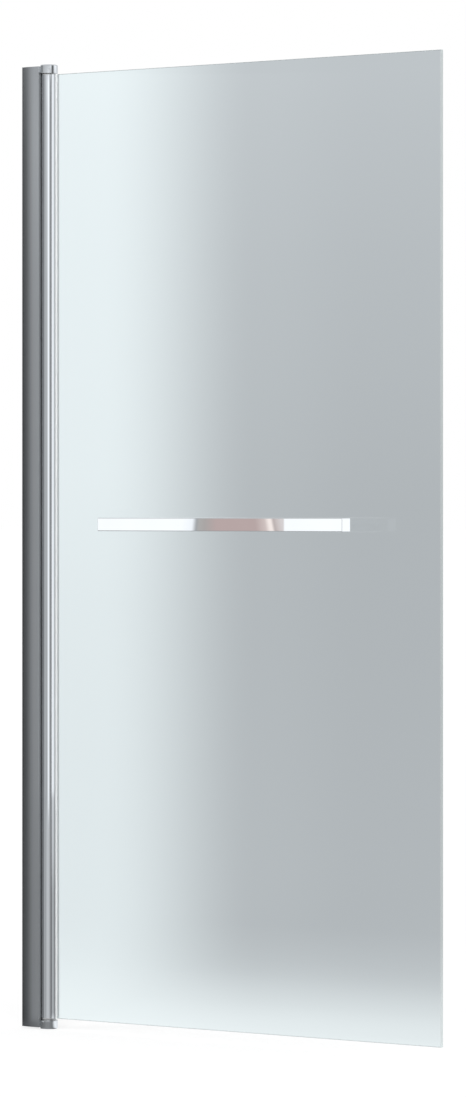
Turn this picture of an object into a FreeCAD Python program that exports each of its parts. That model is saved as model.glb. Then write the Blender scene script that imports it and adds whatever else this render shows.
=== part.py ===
import FreeCAD, Part
import math
import os
from types import SimpleNamespace

import Sketcher

# Bath screen: one glass leaf on a pivot profile, held by a wall profile, with a towel rail.
# Millimetres. X runs out from the wall, +Z is up, and the outside of the screen faces -Y.
# The origin lies on the wall plane, level with the profile's foot, in the glass's middle plane.

DRIVING_SIZES = {
    # The whole screen
    "screen_width": 750,
    "screen_height": 1400,
    "pivot_offset": 40,
    # Clearances: still pieces, sliding pieces, pin in bush, leaf above its washer, leaf below the top block
    "fit_gap": 0.05,
    "slide_gap": 0.2,
    "pin_run_gap": 0.05,
    "thrust_gap": 0.1,
    "lift_gap": 0.8,
    "cut_overrun": 1,
    # Wall profile, a channel with convex flanges and a lipped mouth
    "profile_width": 33,
    "profile_wall_half": 13,
    "profile_mouth_half": 14.4,
    "profile_face_radius": 110,
    "profile_wall": 1.8,
    "profile_edge": 0.5,
    "wall_hole_radius": 2.75,
    "wall_hole_margin": 100,
    # End caps of the wall profile
    "end_cap_plate": 2.5,
    "end_cap_leg": 14,
    "end_cap_leg_half": 8,
    # Hinge carrier, which slides in the wall profile and cradles the pivot tube
    "carrier_back": 6,
    "carrier_setback": 0.5,
    "carrier_half": 11,
    "carrier_rib_length": 11,
    "carrier_leg": 2.2,
    "carrier_pocket": 14,
    "cradle_gap": 1,
    "port_setback": 4,
    "port_spread": 5,
    # Wiper seals in the cradle
    "seal_spread": 7,
    "seal_width": 2.2,
    "seal_root": 13.2,
    "seal_tip": 8.2,
    "seal_gap": 0.3,
    # Carrier clamp screws and their caps
    "clamp_margin": 150,
    "clamp_spot": 0.25,
    "clamp_radius": 2,
    "clamp_head_radius": 3.6,
    "clamp_head": 2.2,
    "clamp_cap_radius": 5,
    "clamp_cap_height": 3.4,
    # Bearing blocks, their screws, pins and washer
    "block_height": 12.5,
    "block_proud": 2.5,
    "block_radius": 13,
    "block_edge": 2,
    "block_gap": 0.3,
    "block_screw_radius": 1.95,
    "block_screw_head_radius": 3.4,
    "block_screw_head": 2.8,
    "block_screw_grip": 16,
    "pin_radius": 4,
    "pin_reach": 12,
    "pin_seat": 8,
    "pin_chamfer": 0.6,
    "thrust_washer_radius": 10.2,
    "thrust_washer_plate": 2,
    # Pivot tube with its glazing jaws, and its bushes
    "tube_radius": 10.3,
    "tube_bore": 6,
    "jaw_reach": 17,
    "jaw_half": 5.5,
    "jaw_edge": 0.8,
    "slot_root": 7.4,
    "bush_length": 14,
    "bush_flange_radius": 10,
    "bush_flange": 1.2,
    # Glass and its gasket
    "glass_thickness": 6,
    "glass_arris": 0.5,
    "gasket_wall": 1.2,
    "gasket_base": 1,
    "gasket_lip_reach": 2.4,
    "gasket_lip_half": 5.2,
    # Towel rail: square bar, end caps and posts
    "rail_length": 440,
    "rail_side": 19,
    "rail_wall": 1.5,
    "rail_corner": 1,
    "rail_level": 733,
    "rail_centre": 404,
    "rail_clear": 40,
    "bar_cap_plate": 2,
    "bar_cap_tongue": 10,
    "bar_cap_edge": 0.5,
    "post_inset": 60,
    "post_radius": 7,
    "post_foot_radius": 8.5,
    "post_foot": 3,
    "post_edge": 0.6,
    "post_spigot_radius": 5,
    "post_spigot": 14,
    "post_thread": 14,
    "grub_radius": 2,
    # Rail fixing through the glass
    "rail_hole_radius": 5,
    "pad_washer": 1,
    "rail_bolt_radius": 3,
    "rail_bolt_grip": 12,
    "rail_bolt_head_radius": 5,
    "rail_bolt_head": 4.5,
    "bolt_cover_radius": 8.5,
    "bolt_cover_height": 7,
    "bolt_cover_edge": 2,
}

WALL_HOLES = 4
CLAMP_SCREWS = 3
SOCKET_WIDTH_SHARE = 0.55
SOCKET_DEPTH_SHARE = 0.6
HEXAGON_SIDES = 6
SAME_PLACE = 1e-6


class Size:
    """A length together with the spreadsheet expression that gives it."""

    def __init__(self, value, text):
        self.value = value
        self.text = text

    def __add__(self, other):
        return Size(self.value + other.value, f"({self.text} + {other.text})")

    def __sub__(self, other):
        return Size(self.value - other.value, f"({self.text} - {other.text})")

    def __neg__(self):
        return Size(-self.value, f"(-1 * {self.text})")

    def __mul__(self, other):
        """Times another size, or times a plain count or share."""
        if isinstance(other, Size):
            return Size(self.value * other.value, f"({self.text} * {other.text})")
        return Size(self.value * other, f"({self.text} * {other:.12g})")

    def __truediv__(self, other):
        if isinstance(other, Size):
            return Size(self.value / other.value, f"({self.text} / {other.text})")
        return Size(self.value / other, f"({self.text} / {other:.12g})")


def root(area):
    return Size(math.sqrt(area.value), f"sqrt({area.text})")


ZERO = Size(0.0, "0")
UPRIGHT = FreeCAD.Rotation()
UPSIDE_DOWN = FreeCAD.Rotation(FreeCAD.Vector(1, 0, 0), 180)
HEAD_TO_REAR = FreeCAD.Rotation(FreeCAD.Vector(1, 0, 0), -90)
TURNED_ROUND = FreeCAD.Rotation(FreeCAD.Vector(0, 0, 1), 180)

doc = FreeCAD.newDocument("BathScreen")
sheet = doc.addObject("Spreadsheet::Sheet", "Sizes")
for row, (name, number) in enumerate(DRIVING_SIZES.items(), 1):
    sheet.set(f"A{row}", name)
    sheet.set(f"B{row}", str(number))
    sheet.setAlias(f"B{row}", name)
doc.recompute()
size = SimpleNamespace(**{name: Size(float(sheet.get(name)), f"Sizes.{name}") for name in DRIVING_SIZES})


def new_body(label, x=ZERO, y=ZERO, z=ZERO, rotation=UPRIGHT):
    body = doc.addObject("PartDesign::Body", label)
    body.Label = label
    body.Placement = FreeCAD.Placement(FreeCAD.Vector(x.value, y.value, z.value), rotation)
    for axis, distance in zip("xyz", (x, y, z)):
        body.setExpression(f"Placement.Base.{axis}", distance.text)
    return body


def new_sketch(body, role, offset=ZERO):
    """A sketch on one of the body's own origin planes, moved along the plane's normal."""
    sketch = body.newObject("Sketcher::SketchObject", body.Name + "_sketch")
    plane = next(item for item in body.Origin.OriginFeatures if item.Role == role)
    sketch.AttachmentSupport = [(plane, "")]
    sketch.MapMode = "FlatFace"
    sketch.setExpression("AttachmentOffset.Base.z", offset.text)
    return sketch


def bind_constraint(sketch, constraint, expression):
    index = sketch.addConstraint(constraint)
    sketch.setExpression(f"Constraints[{index}]", expression)


def fix_point(sketch, geometry, point, x, y):
    """Dimension a point from the sketch's origin."""
    bind_constraint(sketch, Sketcher.Constraint("DistanceX", -1, 1, geometry, point, x.value), x.text)
    bind_constraint(sketch, Sketcher.Constraint("DistanceY", -1, 1, geometry, point, y.value), y.text)


def flat_point(corner):
    return FreeCAD.Vector(corner[0].value, corner[1].value, 0)


def arc_through(start, end, radius, bulge_side):
    """The arc of that radius from start to end; bulge_side is 1 to the left of the way there, -1 to the right."""
    chord = end - start
    sagitta = radius - math.sqrt(radius ** 2 - chord.Length ** 2 / 4)
    aside = FreeCAD.Vector(-chord.y, chord.x, 0).normalize()
    return Part.Arc(start, (start + end) / 2 + aside * (sagitta * bulge_side), end)


def add_outline(sketch, corners):
    """A closed outline. A corner is (x, y), or (x, y, radius, bulge_side) where an arc leaves it."""
    first = sketch.GeometryCount
    ends = []
    for step, corner in enumerate(corners):
        start = flat_point(corner)
        end = flat_point(corners[(step + 1) % len(corners)])
        if len(corner) == 2:
            sketch.addGeometry(Part.LineSegment(start, end), False)
            ends.append((1, 2))
            continue
        sketch.addGeometry(arc_through(start, end, corner[2].value, corner[3]), False)
        runs_forward = sketch.getPoint(first + step, 1).distanceToPoint(start) < SAME_PLACE
        ends.append((1, 2) if runs_forward else (2, 1))
    for step, corner in enumerate(corners):
        following = (step + 1) % len(corners)
        joint = (first + step, ends[step][1], first + following, ends[following][0])
        sketch.addConstraint(Sketcher.Constraint("Coincident", *joint))
        fix_point(sketch, first + step, ends[step][0], corner[0], corner[1])
        if len(corner) > 2:
            bind_constraint(sketch, Sketcher.Constraint("Radius", first + step, corner[2].value), corner[2].text)


def add_rectangle(sketch, left, right, low, high):
    add_outline(sketch, [(left, low), (right, low), (right, high), (left, high)])


def add_circle(sketch, x, y, radius):
    index = sketch.addGeometry(Part.Circle(flat_point((x, y)), FreeCAD.Vector(0, 0, 1), radius.value), False)
    fix_point(sketch, index, 3, x, y)
    bind_constraint(sketch, Sketcher.Constraint("Radius", index, radius.value), radius.text)


def add_hexagon(sketch, radius):
    turns = [math.tau * side / HEXAGON_SIDES for side in range(HEXAGON_SIDES)]
    add_outline(sketch, [(radius * math.cos(turn), radius * math.sin(turn)) for turn in turns])


def pad(body, sketch, length):
    """Material along the sketch's normal."""
    feature = body.newObject("PartDesign::Pad", body.Name + "_pad")
    feature.Profile = sketch
    feature.setExpression("Length", length.text)
    doc.recompute()


def cut(body, sketch, length, along_normal=True):
    """A pocket that has to take material away."""
    volume = body.Shape.Volume
    feature = body.newObject("PartDesign::Pocket", body.Name + "_cut")
    feature.Profile = sketch
    feature.Type = "Length"
    feature.setExpression("Length", length.text)
    feature.Reversed = along_normal
    doc.recompute()
    if not body.Shape.Volume < volume:
        raise RuntimeError(f"a cut in {body.Label} removes nothing")


def turn(body, corners, role="XZ_Plane"):
    """A turned piece: corners are (radius, distance along the axis); XZ turns about Z and XY about Y."""
    sketch = new_sketch(body, role)
    add_outline(sketch, corners)
    feature = body.newObject("PartDesign::Revolution", body.Name + "_turn")
    feature.Profile = sketch
    feature.ReferenceAxis = (sketch, ["V_Axis"])
    feature.Angle = 360
    doc.recompute()


def break_edges(body, kind, amount, wanted):
    """Fillet or chamfer the edges of the body that wanted picks."""
    base = body.Tip
    names = [f"Edge{index}" for index, edge in enumerate(base.Shape.Edges, 1) if wanted(edge.BoundBox)]
    feature = body.newObject(f"PartDesign::{kind}", f"{body.Name}_{kind.lower()}")
    feature.Base = (base, names)
    feature.setExpression("Radius" if kind == "Fillet" else "Size", amount.text)
    doc.recompute()


def is_at(low, high, place):
    """Whether a stretch between two coordinates is one place."""
    return abs(low - place.value) < SAME_PLACE and abs(high - place.value) < SAME_PLACE


def group(label, copies):
    """Like pieces that share one node as separate solids."""
    compound = doc.addObject("Part::Compound", label)
    compound.Label = label
    compound.Links = copies
    doc.recompute()
    return compound


def screw(label, place, rotation, shank, head, socket_radius):
    """A screw whose head seat is its origin; shank and head are (radius, length)."""
    body = new_body(label, *place, rotation)
    shank_radius, shank_length = shank
    head_radius, head_height = head
    turn(body, [(ZERO, -shank_length), (shank_radius, -shank_length), (shank_radius, ZERO),
                (head_radius, ZERO), (head_radius, head_height), (ZERO, head_height)])
    sketch = new_sketch(body, "XY_Plane", head_height)
    add_hexagon(sketch, socket_radius)
    cut(body, sketch, head_height * SOCKET_DEPTH_SHARE, along_normal=False)
    return body


def ring(label, place, inner, outer, thickness):
    """A washer or sleeve about Y that reaches from its origin to the rear."""
    body = new_body(label, *place)
    turn(body, [(inner, ZERO), (outer, ZERO), (outer, thickness), (inner, thickness)], "XY_Plane")
    return body


# Wall profile's flanges: arcs through the wall edge and the mouth edge, about a common centre

flange_rise = size.profile_mouth_half - size.profile_wall_half
flange_chord = root(size.profile_width * size.profile_width + flange_rise * flange_rise)
flange_reach = root(size.profile_face_radius * size.profile_face_radius - flange_chord * flange_chord / 4)
flange_centre_x = size.profile_width / 2 + flange_rise / flange_chord * flange_reach
flange_centre_y = ((size.profile_wall_half + size.profile_mouth_half) / 2
                   - size.profile_width / flange_chord * flange_reach)
flange_inner_radius = size.profile_face_radius - size.profile_wall


def flange_half(x, radius):
    """Half the profile's depth at x, on the flange face of that radius."""
    aside = x - flange_centre_x
    return flange_centre_y + root(radius * radius - aside * aside)


# Places that several pieces share

mouth_half = size.carrier_half + size.slide_gap
lip_back = size.profile_width - size.profile_wall
carrier_front = size.profile_width - size.carrier_setback
carrier_rib_half = flange_half(size.carrier_back, flange_inner_radius) - size.slide_gap
carrier_inner_half = size.carrier_half - size.carrier_leg
pocket_floor = size.carrier_back + size.carrier_pocket
port_x = pocket_floor + size.port_setback
port_radius = size.block_screw_radius + size.fit_gap
block_inner = size.block_height - size.block_proud
top_face = size.screen_height - block_inner
tail_height = block_inner - size.end_cap_plate - size.slide_gap
screw_seat = tail_height - size.block_screw_head - size.slide_gap

clamp_x = size.carrier_back + size.carrier_rib_length / 2
clamp_spot_radius = size.clamp_cap_radius + size.slide_gap
clamp_seat = flange_half(clamp_x - clamp_spot_radius, size.profile_face_radius) - size.clamp_spot
clamp_spacing = (size.screen_height - size.clamp_margin * 2) / (CLAMP_SCREWS - 1)
clamp_levels = [size.clamp_margin + clamp_spacing * step for step in range(CLAMP_SCREWS)]

leaf_bottom = block_inner + size.thrust_washer_plate + size.thrust_gap + size.bush_flange
leaf_top = top_face - size.lift_gap - size.bush_flange
leaf_height = leaf_top - leaf_bottom
glass_half = size.glass_thickness / 2
slot_half = glass_half + size.gasket_wall
glass_edge = size.slot_root + size.gasket_base + size.fit_gap
glass_width = size.screen_width - size.pivot_offset - glass_edge

bar_length = size.rail_length - size.bar_cap_plate * 2
bar_half = size.rail_side / 2
bar_bore_half = bar_half - size.rail_wall
bar_y = -(glass_half + size.rail_clear + bar_half)
bar_left = size.rail_centre - size.rail_length / 2
post_places = (bar_left + size.post_inset, bar_left + size.rail_length - size.post_inset)
glass_front = -glass_half
post_seat = glass_front - size.pad_washer
bolt_seat = glass_half + size.pad_washer


def carrier_outline():
    """The carrier's outer shape, with guide ribs at the wall end of its two legs."""
    rib_end = size.carrier_back + size.carrier_rib_length
    rear_half = [(size.carrier_back, carrier_rib_half), (rib_end, carrier_rib_half),
                 (rib_end, size.carrier_half), (carrier_front, size.carrier_half)]
    return rear_half + [(x, -y) for x, y in reversed(rear_half)]


def make_wall_profile():
    body = new_body("wall_profile")
    outer = size.profile_face_radius
    inner = flange_inner_radius
    inner_wall_half = flange_half(size.profile_wall, inner)
    inner_lip_half = flange_half(lip_back, inner)
    sketch = new_sketch(body, "XY_Plane")
    add_outline(sketch, [
        (ZERO, -size.profile_wall_half), (ZERO, size.profile_wall_half, outer, 1),
        (size.profile_width, size.profile_mouth_half), (size.profile_width, mouth_half),
        (lip_back, mouth_half), (lip_back, inner_lip_half, inner, -1),
        (size.profile_wall, inner_wall_half), (size.profile_wall, -inner_wall_half, inner, -1),
        (lip_back, -inner_lip_half), (lip_back, -mouth_half),
        (size.profile_width, -mouth_half), (size.profile_width, -size.profile_mouth_half, outer, 1),
    ])
    pad(body, sketch, size.screen_height)

    def is_mouth_corner(box):
        is_outer = max(abs(box.YMin), abs(box.YMax)) > mouth_half.value + SAME_PLACE
        return is_at(box.XMin, box.XMax, size.profile_width) and box.ZLength > SAME_PLACE and is_outer

    break_edges(body, "Fillet", size.profile_edge, is_mouth_corner)

    wall_holes = new_sketch(body, "YZ_Plane", -size.cut_overrun)
    spacing = (size.screen_height - size.wall_hole_margin * 2) / (WALL_HOLES - 1)
    for step in range(WALL_HOLES):
        add_circle(wall_holes, ZERO, size.wall_hole_margin + spacing * step, size.wall_hole_radius)
    cut(body, wall_holes, size.profile_wall + size.cut_overrun * 2)

    spot_faces = new_sketch(body, "XZ_Plane", -clamp_seat)
    clamp_holes = new_sketch(body, "XZ_Plane", -carrier_rib_half)
    for level in clamp_levels:
        add_circle(spot_faces, clamp_x, level, clamp_spot_radius)
        add_circle(clamp_holes, clamp_x, level, size.clamp_radius + size.slide_gap)
    cut(body, spot_faces, size.profile_wall, along_normal=False)
    cut(body, clamp_holes, size.profile_wall * 2, along_normal=False)
    return body


def make_end_cap(label, level, rotation):
    """A plate flush with the profile's end, with a leg between the profile's web and the carrier."""
    body = new_body(label, z=level, rotation=rotation)
    back = size.profile_wall + size.slide_gap
    shoulder = lip_back - size.slide_gap
    tongue = size.profile_width + size.block_gap - size.slide_gap
    rear_half = [(back, flange_half(back, flange_inner_radius) - size.slide_gap),
                 (shoulder, flange_half(shoulder, flange_inner_radius) - size.slide_gap),
                 (shoulder, size.carrier_half), (tongue, size.carrier_half)]
    plate = new_sketch(body, "XY_Plane", -size.end_cap_plate)
    add_outline(plate, rear_half + [(x, -y) for x, y in reversed(rear_half)])
    pad(body, plate, size.end_cap_plate)
    leg_length = size.end_cap_plate + size.end_cap_leg
    leg = new_sketch(body, "XY_Plane", -leg_length)
    add_rectangle(leg, back, size.carrier_back - size.slide_gap, -size.end_cap_leg_half, size.end_cap_leg_half)
    pad(body, leg, leg_length)
    return body


def make_hinge_carrier():
    body = new_body("hinge_carrier", z=block_inner)
    length = size.screen_height - block_inner * 2
    outline = new_sketch(body, "XY_Plane")
    add_outline(outline, carrier_outline())
    pad(body, outline, length)

    openings = new_sketch(body, "XY_Plane")
    open_back = size.carrier_back - size.cut_overrun
    add_rectangle(openings, open_back, pocket_floor, -carrier_inner_half, carrier_inner_half)
    add_circle(openings, size.pivot_offset, ZERO, size.tube_radius + size.cradle_gap)
    for side in (1, -1):
        add_circle(openings, port_x, size.port_spread * side, port_radius)
    cut(body, openings, length)

    grooves = new_sketch(body, "XY_Plane")
    groove_half = size.seal_width / 2 + size.fit_gap
    groove_root = size.pivot_offset - size.seal_root - size.fit_gap
    for side in (1, -1):
        middle = size.seal_spread * side
        add_rectangle(grooves, groove_root, size.pivot_offset, middle - groove_half, middle + groove_half)
    cut(body, grooves, length)

    clamp_threads = new_sketch(body, "XZ_Plane", -carrier_inner_half)
    for level in clamp_levels:
        add_circle(clamp_threads, clamp_x, level - block_inner, size.clamp_radius + size.fit_gap)
    cut(body, clamp_threads, carrier_rib_half, along_normal=False)
    return body


def make_wiper_seal(label, side):
    """A soft strip in the carrier's groove, hollowed to run just clear of the pivot tube."""
    body = new_body(label, z=block_inner)
    length = size.screen_height - block_inner * 2
    middle = size.seal_spread * side
    strip = new_sketch(body, "XY_Plane")
    add_rectangle(strip, size.pivot_offset - size.seal_root, size.pivot_offset - size.seal_tip,
                  middle - size.seal_width / 2, middle + size.seal_width / 2)
    pad(body, strip, length)
    hollow = new_sketch(body, "XY_Plane")
    add_circle(hollow, size.pivot_offset, ZERO, size.tube_radius + size.seal_gap)
    cut(body, hollow, length)
    return body


def make_clamp_screws():
    length = clamp_seat - carrier_inner_half
    copies = [screw(f"clamp_screw_{index}", (clamp_x, clamp_seat, level), HEAD_TO_REAR,
                    (size.clamp_radius, length), (size.clamp_head_radius, size.clamp_head),
                    size.clamp_head_radius * SOCKET_WIDTH_SHARE)
              for index, level in enumerate(clamp_levels, 1)]
    return group("carrier_clamp_screws", copies)


def make_clamp_caps():
    bore = size.clamp_head_radius + size.fit_gap
    floor = size.clamp_head + size.fit_gap
    copies = []
    for index, level in enumerate(clamp_levels, 1):
        cap = new_body(f"clamp_cap_{index}", clamp_x, clamp_seat, level)
        turn(cap, [(bore, ZERO), (size.clamp_cap_radius, ZERO), (size.clamp_cap_radius, floor),
                   (bore, size.clamp_cap_height), (ZERO, size.clamp_cap_height), (ZERO, floor),
                   (bore, floor)], "XY_Plane")
        copies.append(cap)
    return group("clamp_screw_caps", copies)


def make_bearing_block(label, level, rotation):
    """A round head over the pivot axis, and a tail in the channel that the carrier's end carries."""
    body = new_body(label, z=level, rotation=rotation)
    head_back = size.profile_width + size.block_gap
    head = new_sketch(body, "XY_Plane")
    add_circle(head, size.pivot_offset, ZERO, size.block_radius)
    pad(body, head, size.block_height)
    behind = new_sketch(body, "XY_Plane")
    add_rectangle(behind, size.pivot_offset - size.block_radius - size.cut_overrun, head_back,
                  -size.block_radius, size.block_radius)
    cut(body, behind, size.block_height)
    tail = new_sketch(body, "XY_Plane")
    add_outline(tail, [(head_back if x is carrier_front else x, y) for x, y in carrier_outline()])
    pad(body, tail, tail_height)

    screw_holes = new_sketch(body, "XY_Plane")
    counterbores = new_sketch(body, "XY_Plane", screw_seat)
    for side in (1, -1):
        add_circle(screw_holes, port_x, size.port_spread * side, size.block_screw_radius + size.slide_gap)
        add_circle(counterbores, port_x, size.port_spread * side, size.block_screw_head_radius + size.slide_gap)
    cut(body, screw_holes, tail_height)
    cut(body, counterbores, tail_height)
    pin_hole = new_sketch(body, "XY_Plane")
    add_circle(pin_hole, size.pivot_offset, ZERO, size.pin_radius + size.fit_gap)
    cut(body, pin_hole, size.pin_seat + size.fit_gap)

    def is_end_rim(box):
        return is_at(box.ZMin, box.ZMax, size.block_height) and box.XMax > size.pivot_offset.value

    break_edges(body, "Fillet", size.block_edge, is_end_rim)
    return body


def make_block_screws():
    shank = (size.block_screw_radius, screw_seat + size.block_screw_grip)
    head = (size.block_screw_head_radius, size.block_screw_head)
    ends = (("top", top_face + screw_seat, UPRIGHT), ("bottom", block_inner - screw_seat, UPSIDE_DOWN))
    copies = []
    for end, level, rotation in ends:
        for side in (1, -1):
            place = (port_x, size.port_spread * side, level)
            label = f"block_screw_{end}_{'rear' if side > 0 else 'front'}"
            copies.append(screw(label, place, rotation, shank, head, head[0] * SOCKET_WIDTH_SHARE))
    return group("bearing_block_screws", copies)


def make_pivot_pin(label, level, rotation):
    """A steel pin, pressed into its block and chamfered at the bush end."""
    body = new_body(label, size.pivot_offset, z=level, rotation=rotation)
    turn(body, [(ZERO, -size.pin_reach), (size.pin_radius - size.pin_chamfer, -size.pin_reach),
                (size.pin_radius, size.pin_chamfer - size.pin_reach), (size.pin_radius, size.pin_seat),
                (ZERO, size.pin_seat)])
    return body


def make_thrust_washer():
    body = new_body("thrust_washer", size.pivot_offset, z=block_inner)
    bore = size.pin_radius + size.fit_gap
    turn(body, [(bore, ZERO), (size.thrust_washer_radius, ZERO),
                (size.thrust_washer_radius, size.thrust_washer_plate), (bore, size.thrust_washer_plate)])
    return body


def make_pivot_tube():
    body = new_body("pivot_tube", size.pivot_offset, z=leaf_bottom)
    outside = new_sketch(body, "XY_Plane")
    add_circle(outside, ZERO, ZERO, size.tube_radius)
    pad(body, outside, leaf_height)
    jaws = new_sketch(body, "XY_Plane")
    add_rectangle(jaws, ZERO, size.jaw_reach, -size.jaw_half, size.jaw_half)
    pad(body, jaws, leaf_height)

    def is_jaw_corner(box):
        return is_at(box.XMin, box.XMax, size.jaw_reach) and box.ZLength > SAME_PLACE

    break_edges(body, "Fillet", size.jaw_edge, is_jaw_corner)
    inside = new_sketch(body, "XY_Plane")
    add_circle(inside, ZERO, ZERO, size.tube_bore)
    add_rectangle(inside, size.slot_root, size.jaw_reach + size.cut_overrun, -slot_half, slot_half)
    cut(body, inside, leaf_height)
    return body


def make_pivot_bush(label, level, rotation):
    """A flanged bush whose flange closes the end of the tube."""
    body = new_body(label, size.pivot_offset, z=level, rotation=rotation)
    bore = size.pin_radius + size.pin_run_gap
    sleeve = size.tube_bore - size.fit_gap
    turn(body, [(bore, -size.bush_length), (sleeve, -size.bush_length), (sleeve, ZERO),
                (size.bush_flange_radius, ZERO), (size.bush_flange_radius, size.bush_flange),
                (bore, size.bush_flange)])
    return body


def make_glass_panel():
    body = new_body("glass_panel", size.pivot_offset + glass_edge, z=leaf_bottom)
    pane = new_sketch(body, "XZ_Plane", -glass_half)
    add_rectangle(pane, ZERO, glass_width, ZERO, leaf_height)
    pad(body, pane, size.glass_thickness)

    def is_long_edge(box):
        return is_at(box.YMin, box.YMax, glass_half) or is_at(box.YMin, box.YMax, glass_front)

    break_edges(body, "Chamfer", size.glass_arris, is_long_edge)
    holes = new_sketch(body, "XZ_Plane", -glass_half)
    for place in post_places:
        add_circle(holes, place - size.pivot_offset - glass_edge, size.rail_level - leaf_bottom,
                   size.rail_hole_radius)
    cut(body, holes, size.glass_thickness)
    return body


def make_glazing_gasket():
    """A U strip round the glass's edge, with a lip over each jaw's end."""
    body = new_body("glazing_gasket", size.pivot_offset, z=leaf_bottom)
    face = glass_half + size.fit_gap
    back = slot_half - size.fit_gap
    lip_start = size.jaw_reach + size.fit_gap
    lip_end = size.jaw_reach + size.gasket_lip_reach
    floor = size.slot_root + size.fit_gap
    rear_half = [(floor, back), (lip_start, back), (lip_start, size.gasket_lip_half), (lip_end, face),
                 (glass_edge - size.fit_gap, face)]
    sketch = new_sketch(body, "XY_Plane")
    add_outline(sketch, rear_half + [(x, -y) for x, y in reversed(rear_half)])
    pad(body, sketch, leaf_height)
    return body


def make_towel_bar():
    body = new_body("towel_bar", bar_left + size.bar_cap_plate, bar_y, size.rail_level)
    section = new_sketch(body, "YZ_Plane")
    add_rectangle(section, -bar_half, bar_half, -bar_half, bar_half)
    add_rectangle(section, -bar_bore_half, bar_bore_half, -bar_bore_half, bar_bore_half)
    pad(body, section, bar_length)

    def is_outer_corner(box):
        mid_wall = (bar_bore_half + size.rail_wall / 2).value
        return abs(box.XLength - bar_length.value) < SAME_PLACE and abs(box.YMax) > mid_wall

    break_edges(body, "Fillet", size.rail_corner, is_outer_corner)
    spigot_holes = new_sketch(body, "XZ_Plane")
    grub_holes = new_sketch(body, "XY_Plane")
    for place in post_places:
        along = place - bar_left - size.bar_cap_plate
        add_circle(spigot_holes, along, ZERO, size.post_spigot_radius + size.fit_gap)
        add_circle(grub_holes, along, ZERO, size.grub_radius + size.fit_gap)
    cut(body, spigot_holes, size.rail_side, along_normal=False)
    cut(body, grub_holes, size.rail_side, along_normal=False)
    return body


def make_bar_cap(label, place, rotation):
    """An end plate flush with the bar's faces, with a tongue in the bar's bore."""
    body = new_body(label, place, bar_y, size.rail_level, rotation)
    plate = new_sketch(body, "YZ_Plane")
    add_rectangle(plate, -bar_half, bar_half, -bar_half, bar_half)
    pad(body, plate, size.bar_cap_plate)
    break_edges(body, "Fillet", size.rail_corner, lambda box: box.XLength > SAME_PLACE)
    break_edges(body, "Fillet", size.bar_cap_edge, lambda box: is_at(box.XMin, box.XMax, ZERO))
    tongue = new_sketch(body, "YZ_Plane", size.bar_cap_plate)
    tongue_half = bar_bore_half - size.fit_gap
    add_rectangle(tongue, -tongue_half, tongue_half, -tongue_half, tongue_half)
    pad(body, tongue, size.bar_cap_tongue)
    return body


def make_post(label, place):
    """A turned stand-off: foot on the glass, stem, and a spigot into the bar."""
    body = new_body(label, place, post_seat, size.rail_level)
    stem = size.rail_clear - size.pad_washer
    thread = size.rail_bolt_radius + size.fit_gap
    tip = stem + size.post_spigot
    turn(body, [(thread, ZERO), (size.post_foot_radius, ZERO),
                (size.post_foot_radius, size.post_edge - size.post_foot),
                (size.post_foot_radius - size.post_edge, -size.post_foot), (size.post_radius, -size.post_foot),
                (size.post_radius, -stem), (size.post_spigot_radius, -stem), (size.post_spigot_radius, -tip),
                (ZERO, -tip), (ZERO, -size.post_thread), (thread, -size.post_thread)], "XY_Plane")
    return body


def make_grub_screws():
    """Screws up through the bar's underside against the posts' spigots."""
    length = bar_half - size.post_spigot_radius - size.fit_gap
    copies = []
    for index, place in enumerate(post_places, 1):
        body = new_body(f"grub_screw_{index}", place, bar_y, size.rail_level - bar_half, UPSIDE_DOWN)
        turn(body, [(ZERO, -length), (size.grub_radius, -length), (size.grub_radius, ZERO), (ZERO, ZERO)])
        socket = new_sketch(body, "XY_Plane")
        add_hexagon(socket, size.grub_radius * SOCKET_WIDTH_SHARE)
        cut(body, socket, length * SOCKET_DEPTH_SHARE, along_normal=False)
        copies.append(body)
    return group("post_grub_screws", copies)


def make_rail_bolts():
    shank_length = size.pad_washer * 2 + size.glass_thickness + size.rail_bolt_grip
    copies = [screw(f"rail_bolt_{index}", (place, bolt_seat, size.rail_level), HEAD_TO_REAR,
                    (size.rail_bolt_radius, shank_length), (size.rail_bolt_head_radius, size.rail_bolt_head),
                    size.rail_bolt_head_radius * SOCKET_WIDTH_SHARE)
              for index, place in enumerate(post_places, 1)]
    return group("rail_bolts", copies)


def make_bolt_covers():
    """Turned caps pushed over the bolt heads on the bath side."""
    bore = size.rail_bolt_head_radius + size.fit_gap
    floor = size.rail_bolt_head + size.fit_gap
    copies = []
    for index, place in enumerate(post_places, 1):
        body = new_body(f"bolt_cover_{index}", place, bolt_seat, size.rail_level)
        turn(body, [(bore, ZERO), (size.bolt_cover_radius, ZERO), (size.bolt_cover_radius, size.bolt_cover_height),
                    (ZERO, size.bolt_cover_height), (ZERO, floor), (bore, floor)], "XY_Plane")
        break_edges(body, "Fillet", size.bolt_cover_edge,
                    lambda box: is_at(box.YMin, box.YMax, size.bolt_cover_height))
        copies.append(body)
    return group("rail_bolt_covers", copies)


def make_rings(label, seat, inner, outer, thickness):
    copies = [ring(f"{label}_{index}", (place, seat, size.rail_level), inner, outer, thickness)
              for index, place in enumerate(post_places, 1)]
    return group(label, copies)


bolt_clearance = size.rail_bolt_radius + size.fit_gap
bar_right = bar_left + size.rail_length

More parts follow.
